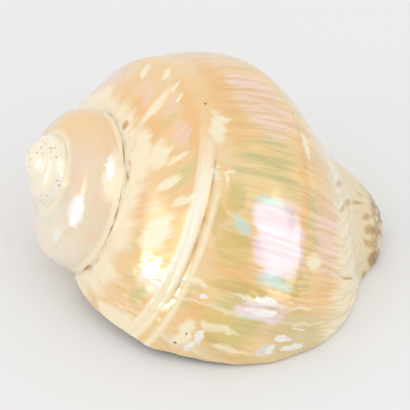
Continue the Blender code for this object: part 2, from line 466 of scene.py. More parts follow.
def write_maps(bm, faces):
    """Put each corner's place in two UV maps, in full circles: turn and lean, and age and lean."""
    turn_layer = bm.verts.layers.float["turn"]
    lean_layer = bm.verts.layers.float["lean"]
    winding = bm.loops.layers.uv.get("winding") or bm.loops.layers.uv.new("winding")
    lines = bm.loops.layers.uv.get("growth") or bm.loops.layers.uv.new("growth")
    for face in faces:
        for loop in face.loops:
            turn, lean = loop.vert[turn_layer], loop.vert[lean_layer]
            loop[winding].uv = (turn / 360.0, lean / 360.0)
            loop[lines].uv = (growth_age(turn, lean) / 360.0, lean / 360.0)


def make_whorls(sizes):
    """The outside of the shell, closed at its tip and across the end of the last whorl."""
    bm, turn_layer, lean_layer, crest_and_shade_layer = start_mesh()
    full_turn = LAST_TURN - 360.0
    edges = add_row(bm, FIRST_TURN, spread(INNER_LEAN, OUTER_LEAN, SPIRE_POINTS))
    edges = wind(bm, edges, FIRST_TURN, full_turn)
    ends = {vert for edge in edges for vert in edge.verts}
    joint = max(ends, key=lambda vert: vert[lean_layer])
    edges += add_row(bm, full_turn, spread(OUTER_LEAN, AXIS_LEAN, BODY_POINTS), joint)
    wind(bm, edges, full_turn, LAST_TURN)
    write_maps(bm, bm.faces)
    bmesh.ops.remove_doubles(bm, verts=bm.verts, dist=SEAM_GAP / SHELL_LENGTH)
    bmesh.ops.holes_fill(bm, edges=open_edges(bm), sides=0)
    for vert in bm.verts:
        turn, lean = vert[turn_layer], vert[lean_layer]
        raised = relief(turn, lean)
        vert[crest_and_shade_layer] = fold_crest_and_shade(growth_age(turn, lean), lean)
        if turn > FIRST_TURN + 360.0:
            fine = fine_relief(turn, lean, sizes) - suture_crack(turn, lean, sizes)
            raised += fine / (TUBE_RADIUS * SHELL_LENGTH * growth(turn))
        vert.co = on_floor(placed(turn, *section_point(lean, raised)), turn)
    bmesh.ops.recalc_face_normals(bm, faces=bm.faces)
    return new_object(bm, "whorls")


def make_ball(sizes):
    """The blunt ball that the first turns are worn down to, with its pits."""
    bm, turn_layer, lean_layer, _ = start_mesh()
    size = BALL_RADIUS * SHELL_LENGTH
    bmesh.ops.create_uvsphere(bm, u_segments=BALL_SIDES, v_segments=BALL_SIDES // 2, radius=size)
    for vert in bm.verts:
        vert[turn_layer] = FIRST_TURN
        vert[lean_layer] = RIDGE_LEAN
        pit = noise.noise(vert.co * 900.0)
        vert.co *= 1.0 - sizes.pits * ramp(pit, 0.25, 0.6) / size
    write_maps(bm, bm.faces)
    bmesh.ops.translate(bm, verts=bm.verts, vec=placed(0.0, 0.0, BALL_FROM_TIP))
    return new_object(bm, "ball")


def room(angle):
    """How far the hollow reaches from its own centre in one direction of the section."""
    along = (math.cos(math.radians(angle)), math.sin(math.radians(angle)))

    def is_inside(reach):
        radius = HOLLOW_CENTRE[0] + reach * along[0]
        height = HOLLOW_CENTRE[1] + reach * along[1]
        out = (radius - TUBE_FROM_AXIS, height - TUBE_FROM_TIP)
        lean = math.degrees(math.atan2(out[1], out[0]))
        if radius < PILLAR_RADIUS or math.hypot(*out) > plain_radius(lean) - WALL:
            return False
        back = (radius - TUBE_FROM_AXIS / GROWTH, height - TUBE_FROM_TIP / GROWTH)
        lean = math.degrees(math.atan2(back[1], back[0]))
        spire_radius = plain_radius(lean) * (1.0 + UPPER_BULGE) / GROWTH
        return math.hypot(*back) > spire_radius + WALL

    return halve(0.05, 0.40, is_inside)


def hollow_reaches():
    """Reach of the hollow at each of its points, eased between the spokes it is worked out on."""
    spokes = [room(360.0 * index / HOLLOW_SPOKES) for index in range(HOLLOW_SPOKES)]
    for _ in range(2):
        spokes = [0.25 * (spokes[index - 1] + 2.0 * reach + spokes[(index + 1) % HOLLOW_SPOKES])
                  for index, reach in enumerate(spokes)]
    reaches = []
    for index in range(HOLLOW_POINTS):
        place = index * HOLLOW_SPOKES / HOLLOW_POINTS
        whole = int(place)
        part = place - whole
        before, low, high, after = (
            spokes[(whole + shift) % HOLLOW_SPOKES] for shift in (-1, 0, 1, 2))
        bend = part * (high - before + part * (2.0 * before - 5.0 * low + 4.0 * high - after
                                               + part * (3.0 * (low - high) + after - before)))
        reaches.append(low + 0.5 * bend)
    return reaches


def make_hollow():
    """The inside of the tube, which the animal lived in, open at the mouth."""
    reaches = hollow_reaches()
    bm, turn_layer, lean_layer, _ = start_mesh()
    place_layer = bm.verts.layers.int.new("place")
    ring = bmesh.ops.create_circle(bm, segments=HOLLOW_POINTS, radius=0.01)["verts"]
    for index, vert in enumerate(ring):
        vert[turn_layer] = HOLLOW_TURNS[0]
        vert[place_layer] = index
        vert[lean_layer] = 360.0 * index / HOLLOW_POINTS
        vert.co.x += 0.5
    wind(bm, list(bm.edges), *HOLLOW_TURNS, fixed_step=PLAIN_STEP)
    bmesh.ops.holes_fill(bm, edges=open_edges(bm), sides=0)
    write_maps(bm, bm.faces)
    for vert in bm.verts:
        turn = vert[turn_layer]
        index = vert[place_layer]
        short = 1.0 - min((turn - HOLLOW_TURNS[0]) / HOLLOW_TAPER, 1.0)
        reach = reaches[index] * math.sqrt(max(1.0 - short * short, 0.04))
        angle = 2.0 * math.pi * index / HOLLOW_POINTS
        radius = HOLLOW_CENTRE[0] + reach * math.cos(angle)
        height = HOLLOW_CENTRE[1] + reach * math.sin(angle)
        out = (radius - TUBE_FROM_AXIS, height - TUBE_FROM_TIP)
        lean = math.degrees(math.atan2(out[1], out[0]))
        inwards = swelling(WAIST, turn, lean) * plain_radius(lean) / math.hypot(*out)
        radius += out[0] * inwards
        height += out[1] * inwards
        lift = WALL * SHELL_LENGTH * growth(turn)
        vert.co = on_floor(placed(turn, radius, height), turn, lift)
    bmesh.ops.recalc_face_normals(bm, faces=bm.faces)
    for face in bm.faces:
        face.material_index = 1
    return new_object(bm, "hollow")


def boolean(target, helper, operation):
    change = target.modifiers.new(helper.name, "BOOLEAN")
    change.object = helper
    change.operation = operation
    change.solver = "EXACT"


def evaluated_mesh(target):
    """A bmesh of the object with its modifiers applied."""
    bpy.context.view_layer.update()
    graph = bpy.context.evaluated_depsgraph_get()
    mesh = bpy.data.meshes.new_from_object(target.evaluated_get(graph))
    bm = bmesh.new()
    bm.from_mesh(mesh)
    bpy.data.meshes.remove(mesh)
    return bm


def cut(bm, height, clear=False):
    """Cut across at one height, and drop what is below if asked."""
    geom = list(bm.verts) + list(bm.edges) + list(bm.faces)
    bmesh.ops.bisect_plane(bm, geom=geom, dist=0.000001, plane_co=(0.0, 0.0, height),
                           plane_no=(0.0, 0.0, 1.0), clear_inner=clear)


def stand_on_table(bm, edge_radius):
    """Cut the shell at the table and under its raised lip, and round the lip's edge."""
    for vert in bm.verts:
        vert.co.z -= lip_height(vert.co.x, vert.co.y)
    cut(bm, 0.0, clear=True)
    for ring in LIP_RINGS:
        cut(bm, ring * edge_radius)
    bm.normal_update()
    moves = {}
    for vert in bm.verts:
        above = vert.co.z
        if above < edge_radius:
            reach = edge_radius ** 2 - (edge_radius - above) ** 2
            inwards = edge_radius - math.sqrt(max(reach, 0.0))
            side = Vector((vert.normal.x, vert.normal.y, 0.0))
            moves[vert] = side * (-inwards * side.length)
    filled = bmesh.ops.triangle_fill(bm, edges=open_edges(bm), use_beauty=True,
                                     normal=(0.0, 0.0, -1.0))
    turn_layer = bm.verts.layers.float["turn"]
    filled = [item for item in filled["geom"] if isinstance(item, bmesh.types.BMFace)]
    for face in filled:
        if max(vert[turn_layer] for vert in face.verts) > 0.0:
            face.material_index = 1
    write_maps(bm, filled)
    for vert, move in moves.items():
        vert.co += move
    for vert in bm.verts:
        vert.co.z += lip_height(vert.co.x, vert.co.y)


def fit_to_box(bm):
    """Scale the finished mesh by the hair's breadth that keeps it in the shell's box."""
    low, high = SHELL_BOX
    for axis in range(3):
        least = min(vert.co[axis] for vert in bm.verts)
        most = max(vert.co[axis] for vert in bm.verts)
        factor = min(1.0, high[axis] / most)
        if low[axis] < 0.0:
            factor = min(factor, low[axis] / least)
        for vert in bm.verts:
            vert.co[axis] = max(vert.co[axis] * factor, low[axis])


def make_shell(sizes, materials):
    """One closed mesh: whorls and ball joined, hollowed from the mouth and cut at the table."""
    whorls = make_whorls(sizes)
    ball = make_ball(sizes)
    hollow = make_hollow()
    for part in (whorls, ball, hollow):
        for material in materials:
            part.data.materials.append(material)
    boolean(whorls, ball, "UNION")
    boolean(whorls, hollow, "DIFFERENCE")
    bm = evaluated_mesh(whorls)
    for helper in (whorls, ball, hollow):
        bpy.data.objects.remove(helper, do_unlink=True)
    stand_on_table(bm, sizes.lip_edge)
    bmesh.ops.remove_doubles(bm, verts=bm.verts, dist=MERGE_GAP)
    bmesh.ops.recalc_face_normals(bm, faces=bm.faces)
    fit_to_box(bm)
    for face in bm.faces:
        face.smooth = True
    shell = new_object(bm, "pearl_shell")
    for material in materials:
        shell.data.materials.append(material)
    return shell


class NodeBoard:
    """Adds nodes to a tree and joins them, so that a material reads like a sum."""

    def __init__(self, tree):
        self.tree = tree

    def add(self, kind, **settings):
        node = self.tree.nodes.new(kind)
        for name, value in settings.items():
            setattr(node, name, value)
        return node

    def feed(self, socket, value):
        """Join a socket to the input, or give it a plain value."""
        if isinstance(value, bpy.types.NodeSocket):
            self.tree.links.new(value, socket)
        elif socket.type == "RGBA":
            socket.default_value = tuple(value)[:3] + (1.0,)
        else:
            socket.default_value = value

    def compute(self, operation, *values):
        node = self.add("ShaderNodeMath", operation=operation)
        for socket, value in zip(node.inputs, values):
            self.feed(socket, value)
        return node.outputs[0]

    def times(self, first, second):
        return self.compute("MULTIPLY", first, second)

    def scaled(self, value, factor, added):
        """The value times a factor, with something added."""
        return self.compute("MULTIPLY_ADD", value, factor, added)

    def weigh(self, first, share, second):
        """The mean of two values, the first one with the given share."""
        return self.scaled(first, share, self.times(second, 1.0 - share))

    def sway(self, value, wave, reach):
        """The value, moved up and down by a noise."""
        return self.scaled(self.compute("SUBTRACT", wave, 0.5), reach, value)

    def rise(self, value, start, end, low=0.0, high=1.0):
        """Smooth step from low at start to high at end."""
        node = self.add("ShaderNodeMapRange", interpolation_type="SMOOTHSTEP")
        for socket, given in zip(node.inputs, (value, start, end, low, high)):
            self.feed(socket, given)
        return node.outputs[0]

    def bell(self, value, centre, width):
        """1 at the centre, falling smoothly to 0 at a width away."""
        away = self.compute("ABSOLUTE", self.compute("SUBTRACT", value, centre))
        return self.rise(away, 0.0, width, 1.0, 0.0)

    def blend(self, factor, first, second, mode="MIX"):
        node = self.add("ShaderNodeMix", data_type="RGBA", blend_type=mode)
        self.feed(node.inputs["Factor"], factor)
        self.feed(node.inputs[6], first)
        self.feed(node.inputs[7], second)
        return node.outputs[2]

    def paint(self, colour, layers):
        """Lay tints over a colour, each where its mask is 1."""
        for mask, tint in layers:
            colour = self.blend(mask, colour, tint)
        return colour

    def noise(self, vector, scale=1.0, detail=2.0, rough=0.5, warp=0.0, output="Fac"):
        node = self.add("ShaderNodeTexNoise", noise_dimensions="3D")
        for name, value in (("Vector", vector), ("Scale", scale), ("Detail", detail),
                            ("Roughness", rough), ("Distortion", warp)):
            self.feed(node.inputs[name], value)
        return node.outputs[output]

    def streaks(self, growth_map, along, across, detail, rough, warp=0.0, output="Fac"):
        """A noise drawn out into streaks: its scale along the winding and across it."""
        node = self.add("ShaderNodeMapping")
        self.feed(node.inputs["Vector"], growth_map)
        node.inputs["Scale"].default_value = (along, across, 1.0)
        return self.noise(node.outputs[0], 1.0, detail, rough, warp, output)

    def join(self, x, y, z=0.0):
        node = self.add("ShaderNodeCombineXYZ")
        for socket, value in zip(node.inputs, (x, y, z)):
            self.feed(socket, value)
        return node.outputs[0]

    def shifted(self, shift, reach, vector):
        """A vector with another one added, scaled along each axis."""
        node = self.add("ShaderNodeVectorMath", operation="MULTIPLY_ADD")
        for socket, value in zip(node.inputs, (shift, reach, vector)):
            self.feed(socket, value)
        return node.outputs[0]

    def spot(self, vector, age, lean, half_length, half_width, slant=0):
        """1 at the middle of an oval on the shell, falling to 0 at its edge."""
        node = self.add("ShaderNodeMapping", vector_type="TEXTURE")
        self.feed(node.inputs["Vector"], vector)
        node.inputs["Location"].default_value = (age, lean, 0.0)
        node.inputs["Rotation"].default_value = (0.0, 0.0, math.radians(slant))
        node.inputs["Scale"].default_value = (half_length, half_width, 1.0)
        ball = self.add("ShaderNodeTexGradient", gradient_type="SPHERICAL")
        self.feed(ball.inputs[0], node.outputs[0])
        return ball.outputs["Fac"]

    def spots(self, vector, places):
        """The highest of several ovals."""
        highest = 0.0
        for place in places:
            highest = self.compute("MAXIMUM", highest, self.spot(vector, *place))
        return highest


# Markings and painted highlights and reflections: age, lean, half length, half width and, for some,
# slant, all in degrees
# Cream flames, and painted reflections: the four small spots at lean -57 to -52.5 and the patch at age
# 62.5, lean -65.5 are soft reflections of the lights at the left, painted as cream
CREAM_FLAMES_AND_PAINTED_REFLECTIONS = (
    (18, -78, 24, 7), (-66, -79, 30, 13), (-0.5, -66, 4, 17), (1.6, -52.5, 2.6, 4.5),
    (26, -70, 8.5, 8.5), (33, -61, 1.7, 7.5, -12), (42, -64.5, 3.6, 6), (53, -54, 2.6, 9, -16),
    (62.5, -65.5, 10, 9), (-25, -57, 4, 7), (-8, -53, 4, 4), (9, -53, 1.8, 4), (28, -38, 9, 5),
    (45, -40, 4, 2.6), (44.5, -33.5, 1, 4), (47, -35.5, 3, 1.2), (86, -58, 6.5, 5.5), (81, -63, 8, 5),
    (108, -66, 10, 12), (101, -37, 8, 5), (29, 10, 6, 3.5), (65, 11, 3, 6), (-310, -26, 22, 9),
)
GREEN_GLEAMS = (
    (37, -15, 9, 20), (46, -12, 8, 20), (47, -29, 9, 6), (94, -14, 7, 12), (84.5, -20, 3, 8),
    (90.5, 12, 7, 10), (42.5, -58.5, 6, 9), (13, -62, 3, 7), (65, -73, 9, 3.4), (83, -70, 5, 5),
    (92, -62, 7, 5), (86.5, -26, 3, 8), (52, 9.5, 13, 3.6), (72, 8.5, 7, 3.4), (90, -42, 4, 3),
    (-276, -44, 12, 8), (-240, -35, 14, 9),
)
GOLD_GLEAMS = (
    (67.5, -28, 8, 11), (81, -20, 4, 20), (94, -20, 10, 16), (52, -31, 6, 6), (74, 2.5, 9, 4),
    (60, -38, 8, 4), (90, 4, 10, 8),
)
PINK_GLEAMS = (
    (-14, -66, 10, 8), (8, -58, 6, 8), (24, -57, 9, 7), (6, -19, 6, 9), (12, -11, 9, 17),
    (22, -9, 9, 18), (57, 21, 17, 15), (86, -6, 7, 14), (-58, -60, 20, 14), (-362, -60, 22, 12),
    (-245, -55, 20, 14),
)
ORANGE_GLOWS = (
    (-11, -74, 16, 5), (11, -70, 9, 7), (26, -50, 36, 6), (66, -56, 18, 6), (8, -30, 40, 9, 3),
    (42, 5, 27, 4.4), (75.5, -26, 3.4, 13), (48, -77, 17, 4), (73, -67, 5, 10), (94, -55, 14, 6),
    (92, -36, 5, 6), (101, -82, 6, 3), (-325, -40, 10, 12), (-285, -42, 7, 6), (-340, -64, 30, 12),
    (-282, -74, 16, 8),
)
# Painted highlight tint: pale lavender where the window light is reflected on the body and beside the
# lip
LAVENDER_PAINTED_HIGHLIGHTS = (
    (62, -7, 16, 14), (56, -14, 7, 9), (86.5, -9, 4.5, 12), (99, -1, 3, 5),
)
# Painted highlight tint: mint at the edges of the lavender, and a patch beside the white highlight on
# the spire
MINT_PAINTED_HIGHLIGHT_EDGES = (
    (50.5, -14, 2.6, 10), (75, -6, 5, 11), (60, -27, 3.6, 9, -20), (98, -2, 2.6, 4), (90, -13, 1.4, 6),
    (-250, -62, 12, 5),
)
# Painted highlights: white patches and small glints where the lights are reflected, on the spire, the
# shoulder and beside the lip; there the pearl is also a little rougher and more metallic
PAINTED_WHITE_HIGHLIGHTS = (
    (-272, -54.5, 19, 9, 27), (-241, -57, 10, 5, 20), (-311, -31.5, 12, 5.5), (-620, -19, 40, 8),
    (104, -31.4, 3.6, 2), (99.4, -30.2, 2.4, 2.2), (87.3, -35.9, 1.4, 1.6), (98.6, 0.4, 2.4, 2.6),
    (97.2, 10.5, 1, 6, 6), (95.3, 4, 0.8, 5), (86.6, -9, 1.8, 7), (82.5, -8, 1, 6), (91.5, 10, 0.8, 4),
    (78.6, -62, 5, 3),
)
OCHRE_STAINS = (
    (45.5, 50, 1.7, 17), (37, 50, 2, 14), (61, 68, 7, 3), (72, 71, 7, 3.5), (71.4, 41, 0.8, 11, -21),
    (81, 67, 4, 3.5), (5, -84, 9, 1.6), (-11, -84.5, 4, 3), (24, -86, 9, 2.2), (-232, -15.5, 9, 2.4),
    (46, 60, 1.6, 10), (52, 66, 3, 4),
)
BROWN_SPECKS = (
    (17.6, -41.5, 0.8, 1.1, 20), (100.5, -35.5, 0.8, 0.6), (105, -38, 0.7, 1.1),
    (17, 7.5, 0.4, 1.3, 20), (52.3, -2.5, 0.3, 0.5),
)


def start_group(name, inputs, outputs):
    """An empty node group with the named sockets."""
    tree = bpy.data.node_groups.new(name, "ShaderNodeTree")
    for sockets, side in ((inputs, "INPUT"), (outputs, "OUTPUT")):
        for label, kind in sockets:
            tree.interface.new_socket(label, in_out=side, socket_type="NodeSocket" + kind)
    board = NodeBoard(tree)
    return board, board.add("NodeGroupInput").outputs, board.add("NodeGroupOutput").inputs


def pearl_tints_group():
    """Soft patches of peach, pink, cream and pale green that cross the pearl."""
    board, given, result = start_group(
        "pearl tints",
        (("Growth", "Vector"), ("Place", "Vector"), ("Peach", "Color"), ("Pink", "Color"),
         ("Green", "Color")),
        (("Color", "Color"),))
    bands = board.streaks(given["Growth"], 0.09, 0.03, 3.0, 0.6)
    clouds = board.noise(given["Place"], 34.0, 2.0, 0.5, 0.6)
    tone = board.weigh(bands, 0.6, clouds)
    colour = board.blend(board.rise(tone, 0.48, 0.64, 0.0, 0.7), given["Peach"], given["Pink"])
    colour = board.blend(board.rise(tone, 0.46, 0.34, 0.0, 0.6), colour, given["Green"])
    board.feed(result["Color"], colour)
    return board.tree


def growth_lines_group():
    """Fine lines across the winding: a value about a half, and a height for bump."""
    board, given, result = start_group(
        "growth lines", (("Growth", "Vector"),), (("Value", "Float"), ("Height", "Float")))
    coarse = board.streaks(given["Growth"], 0.45, 0.022, 3.0, 0.65)
    fine = board.streaks(given["Growth"], 2.4, 0.06, 2.0, 0.6)
    board.feed(result["Value"], board.weigh(coarse, 0.65, fine))
    board.feed(result["Height"], board.scaled(fine, 0.4, coarse))
    return board.tree


def add_group(board, tree, **values):
    node = board.add("ShaderNodeGroup", node_tree=tree)
    for name, value in values.items():
        board.feed(node.inputs[name], value)
    return node.outputs


def start_material(name):
    material = bpy.data.materials.new(name)
    material.use_nodes = True
    board = NodeBoard(material.node_tree)
    return material, board, material.node_tree.nodes["Principled BSDF"]


def map_of(board, name):
    """A UV map in degrees: its two values, and both as one vector."""
    uv_map = board.add("ShaderNodeUVMap", uv_map=name)
    split = board.add("ShaderNodeSeparateXYZ")
    board.feed(split.inputs[0], uv_map.outputs["UV"])
    along = board.times(split.outputs["X"], 360.0)
    across = board.times(split.outputs["Y"], 360.0)
    return along, across, board.join(along, across)


def pearl_colour(board, colours, growth_map, place, lines, edge):
    """Peach pearl with its gleams, which break up into stripes along the growth lines, and lavender and
    mint painted as the tint of the window light's highlight.
    """
    tints = add_group(board, pearl_tints_group(), Growth=growth_map, Place=place,
                      Peach=colours.peach, Pink=colours.orange, Green=colours.silver)
    colour = tints["Color"]
    stripes = board.rise(lines, 0.44, 0.56)
    dark_stripes = board.compute("SUBTRACT", 1.0, stripes)
    for places, share, fade, striping, tint in (
            (ORANGE_GLOWS, 0.85, 0.7, None, colours.orange),
            (GOLD_GLEAMS, 0.90, 0.5, None, colours.gold),
            (PINK_GLEAMS, 0.90, 0.6, stripes, colours.pink),
            (GREEN_GLEAMS, 0.90, 0.6, dark_stripes, colours.green),
            # Lavender and mint are painted tints of the window light's highlight
            (LAVENDER_PAINTED_HIGHLIGHTS, 0.95, 0.35, None, colours.lavender),
            (MINT_PAINTED_HIGHLIGHT_EDGES, 0.75, 0.8, None, colours.mint)):
        mask = board.times(edge(places, 0.0, fade, 0.6), share)
        if striping:
            mask = board.times(mask, board.scaled(striping, 0.75, 0.25))
        colour = board.blend(mask, colour, tint)
    return colour


def shade_lines(board, colour, lines, turn, lean):
    """Darken and lighten the colour along the growth lines, most on the body below the ridge."""
    body = board.times(board.rise(lean, *LINED_LEANS), board.rise(turn, *LINED_TURNS))
    shade = board.rise(lines, 0.38, 0.60, 0.84, 1.07)
    shaded = board.blend(1.0, colour, board.join(shade, shade, shade), "MULTIPLY")
    return board.blend(board.scaled(body, 0.75, 0.15), colour, shaded)


def spire_colour(board, colours, turn, growth_map, place):
    """Silvery pearl of the early whorls, with long soft bands of pink, green and peach."""
    bands = board.streaks(growth_map, 0.025, 0.07, 2.0, 0.5, 0.4)
    clouds = board.noise(place, 70.0, 2.0, 0.5, 0.5)
    tone = board.weigh(bands, 0.6, clouds)
    return board.paint(colours.silver, (
        (board.rise(tone, 0.48, 0.60, 0.0, 0.4), colours.pink),
        (board.rise(tone, 0.56, 0.68, 0.0, 0.7), colours.peach),
        (board.rise(tone, 0.46, 0.36, 0.0, 0.6), colours.green),
        (board.rise(turn, *PALE_SPIRE, 0.0, 0.4), colours.white),
        (board.bell(turn, *PEACH_SPIRE), colours.peach)))


def beside_groove(board, turn, lean, slow):
    """Distance in degrees from the groove that runs under the ridge, towards the base."""
    start, groove, slope = GROOVE_LINE
    line = board.scaled(turn, slope, groove - slope * start)
    return board.sway(board.compute("SUBTRACT", lean, line), slow, 2.4)


def ridge_band(board, off_groove, turn):
    """The cream band along the ridge, made of threads."""
    threads = board.noise(board.join(board.times(off_groove, 0.6), board.times(turn, 0.03)), 1.0, 2.0)
    threads = board.rise(threads, 0.38, 0.58, 0.75, 1.0)
    across = board.rise(board.bell(off_groove, *RIDGE_BAND), 0.1, 0.7)
    return board.times(across, board.times(board.rise(turn, *RIDGE_BAND_STARTS), threads))


def lower_band(board, off_groove, turn):
    """The cream band on the other side of the groove."""
    start = board.rise(turn, *LOWER_BAND_STARTS, 0.0, 0.9)
    return board.times(board.bell(off_groove, *LOWER_BAND), start)


def groove_dirt(board, off_groove, turn, wobble):
    along = board.times(board.rise(turn, *DIRT_STARTS), board.rise(turn, *DIRT_ENDS, 1.0, 0.0))
    broken = board.times(along, board.rise(wobble, 0.35, 0.6))
    return board.times(board.bell(off_groove, 0.0, 0.9), broken)


def suture_fringe(board, turn, age, lean):
    """Cream along the upper suture, with long flames at its edge."""
    flames = board.noise(board.join(board.times(age, 0.10), board.times(lean, 0.02)), 1.0, 3.0)
    reach = board.rise(turn, *FRINGE_GROWS, 3.0, 26.0)
    flames = board.times(board.compute("SUBTRACT", flames, 0.42), reach)
    start = INNER_LEAN + 2.0
    return board.rise(board.compute("SUBTRACT", lean, flames), start, start + 10.0, 1.0, 0.0)


def spire_rim(board, turn, lean, slow):
    """Cream along the lower edge of the spire's whorls."""
    across = board.rise(board.scaled(slow, 10.0, lean), OUTER_LEAN - 8.0, OUTER_LEAN - 2.0)
    return board.times(across, board.rise(turn, *SPIRE_RIM_ENDS, 0.9, 0.0))


def outer_nacre(colours):
    """Polished pearl with cream flames, growth lines, cracks and stains, and with painted highlights,
    reflections and shade.
    """
    material, board, shader = start_material("polished nacre")
    turn, lean, _ = map_of(board, "winding")
    age, _, growth_map = map_of(board, "growth")
    place = board.add("ShaderNodeTexCoord").outputs["Object"]
    wobble = board.noise(place, 150.0, 3.0, 0.6)
    slow = board.noise(place, 45.0, 2.0, 0.5)
    lines = add_group(board, growth_lines_group(), Growth=growth_map)
    streaks = board.streaks(growth_map, 0.7, 0.05, 3.0, 0.6)
    grain = board.streaks(growth_map, 0.35, 0.05, 4.0, 0.7)
    # crest: 1 on the fold crests, and -1 in the step just past them, where shade is painted
    fold = board.add("ShaderNodeAttribute", attribute_name="crest").outputs["Fac"]
    strayed = stray(board, growth_map)
    uneven = board.weigh(slow, 0.4, streaks)

    def edge(places, start, end, unevenness):
        """The mask of several ovals, with uneven edges."""
        return board.rise(board.sway(board.spots(strayed, places), uneven, unevenness), start, end)

    colour = pearl_colour(board, colours, growth_map, place, lines["Value"], edge)
    colour = shade_lines(board, colour, lines["Value"], turn, lean)
    worn = board.times(board.rise(age, *WORN_AGES), board.rise(lean, *WORN_LEANS, 0.0, 0.8))
    spire = spire_colour(board, colours, turn, growth_map, place)
    colour = board.paint(colour, (
        (board.rise(turn, *SPIRE_ENDS, 0.9, 0.0), spire),
        (worn, colours.aged),
        # painted shade: gold in the step just past each fold's crest
        (board.rise(fold, -0.1, -0.7, 0.0, 0.55), colours.gold)))

    off_groove = beside_groove(board, turn, lean, slow)
    band = ridge_band(board, off_groove, turn)
    base = board.rise(board.scaled(turn, 0.22, board.sway(lean, streaks, 26.0)), *BASE_EDGE)
    cream = suture_fringe(board, turn, age, lean)
    # The cream ovals hold the pearl's opaque flames, and also soft reflections of the lights painted as
    # cream
    for mask in (base, edge(CREAM_FLAMES_AND_PAINTED_REFLECTIONS, 0.0, 0.6, 0.40), band, lower_band(board, off_groove, turn),
                 spire_rim(board, turn, lean, slow), board.rise(fold, 0.15, 0.8, 0.0, 0.8)):
        cream = board.compute("MAXIMUM", cream, mask)
    aged = board.compute("MAXIMUM", board.rise(grain, 0.42, 0.62, 0.0, 0.8),
                         board.rise(lean, *AGED_LOBE, 0.0, 0.75))
    stains = board.rise(board.spots(growth_map, OCHRE_STAINS), 0.0, 0.5)
    crack = crack_mask(board, turn, lean, wobble)
    tip = board.rise(turn, *TIP_ENDS, 0.85, 0.0)
    # Painted highlights: white, a little rougher and more metallic
    gleam = edge(PAINTED_WHITE_HIGHLIGHTS, 0.05, 0.28, 0.55)
    pits = board.rise(board.noise(place, 900.0, 1.0), 0.64, 0.72)
    colour = board.paint(colour, (
        (board.times(cream, 0.88), colours.cream),
        (board.times(band, board.rise(turn, *PALE_BAND_ENDS, 0.5, 0.0)), colours.white),
        (board.times(base, aged), colours.aged),
        (board.times(stains, board.rise(wobble, 0.34, 0.52, 0.0, 0.9)), colours.ochre),
        (flaked_edge(board, turn, lean, wobble), colours.brown),
        (board.times(groove_dirt(board, off_groove, turn, wobble), 0.5), colours.brown),
        (crack, colours.ochre),
        (board.rise(crack, 0.55, 0.85, 0.0, 0.8), colours.brown),
        (board.rise(board.spots(growth_map, BROWN_SPECKS), 0.1, 0.6, 0.0, 0.9), colours.brown),
        (tip, colours.cream),
        (board.times(tip, 0.45), colours.white),
        # painted white highlights and glints
        (board.times(gleam, 0.9), colours.white),
        (board.times(pits, board.rise(turn, *PITS_END, 0.7, 0.0)), colours.ochre)))
    board.feed(shader.inputs["Base Color"], colour)
    dull = board.compute("MAXIMUM", crack, board.times(base, 0.5))
    roughness = board.scaled(gleam, 0.10, board.rise(dull, 0.0, 1.0, 0.16, 0.5))
    board.feed(shader.inputs["Roughness"], roughness)
    shine = board.times(board.compute("SUBTRACT", 1.0, cream), colours.metal)
    board.feed(shader.inputs["Metallic"], board.scaled(gleam, 0.45, shine))
    shader.inputs["Coat Weight"].default_value = 0.7
    shader.inputs["Coat IOR"].default_value = 1.6
    shader.inputs["Coat Roughness"].default_value = 0.03
    shader.inputs["Specular IOR Level"].default_value = 0.6
    finish_surface(board, shader, colours, lines["Height"], 0.25)
    return material


def stray(board, growth_map):
    """The growth map moved about a little, most across the whorl, so that edges turn into flames."""
    shift = board.streaks(growth_map, 0.20, 0.05, 3.0, 0.6, output="Color")
    return board.shifted(shift, STRAY_REACH, board.shifted((-0.5, -0.5, -0.5), STRAY_REACH, growth_map))


def finish_surface(board, shader, colours, height, strength):
    """Light comes warm through the thin wall, and the growth lines stand out a little."""
    shader.inputs["Subsurface Weight"].default_value = colours.glow
    shader.inputs["Subsurface Radius"].default_value = (1.0, 0.55, 0.30)
    shader.inputs["Subsurface Scale"].default_value = GLOW_DEPTH
    bump = board.add("ShaderNodeBump")
    bump.inputs["Strength"].default_value = strength
    bump.inputs["Distance"].default_value = BUMP_HEIGHT
    board.feed(bump.inputs["Height"], height)
    board.feed(shader.inputs["Normal"], bump.outputs[0])


def flaked_edge(board, turn, lean, wobble):
    """Brown dirt where layers flaked off the outer edge of the lobe."""
    edge = board.times(board.rise(lean, *FLAKED_LEANS), board.rise(turn, *FLAKED_TURNS))
    return board.times(board.rise(board.scaled(edge, 0.35, wobble), 0.68, 0.84, 0.0, 0.85), edge)


def crack_mask(board, turn, lean, wobble):
    """The thin brown line along the sutures, broken here and there, and wider where it is chipped."""
    gate = board.noise(board.join(board.times(turn, 0.045), 0.0, 5.0), 1.0, 2.0, 0.6)
    off_line = board.compute("SUBTRACT", board.sway(lean, wobble, 2.5), OUTER_LEAN - 2.0)
    width = board.rise(gate, 0.40, 0.65, 0.25, 1.3)
    lower = board.compute("DIVIDE", board.compute("ABSOLUTE", off_line), width)
    lower = board.rise(lower, 0.4, 1.0, 1.0, 0.0)
    lower = board.times(lower, board.rise(turn, LAST_TURN - 362.0, LAST_TURN - 360.0, 1.0, 0.0))
    upper = board.times(board.bell(lean, INNER_LEAN, 1.6), board.rise(gate, 0.48, 0.62))
    mask = board.compute("MAXIMUM", upper, lower)
    return board.times(mask, board.rise(wobble, 0.30, 0.60, 0.1, 0.85))


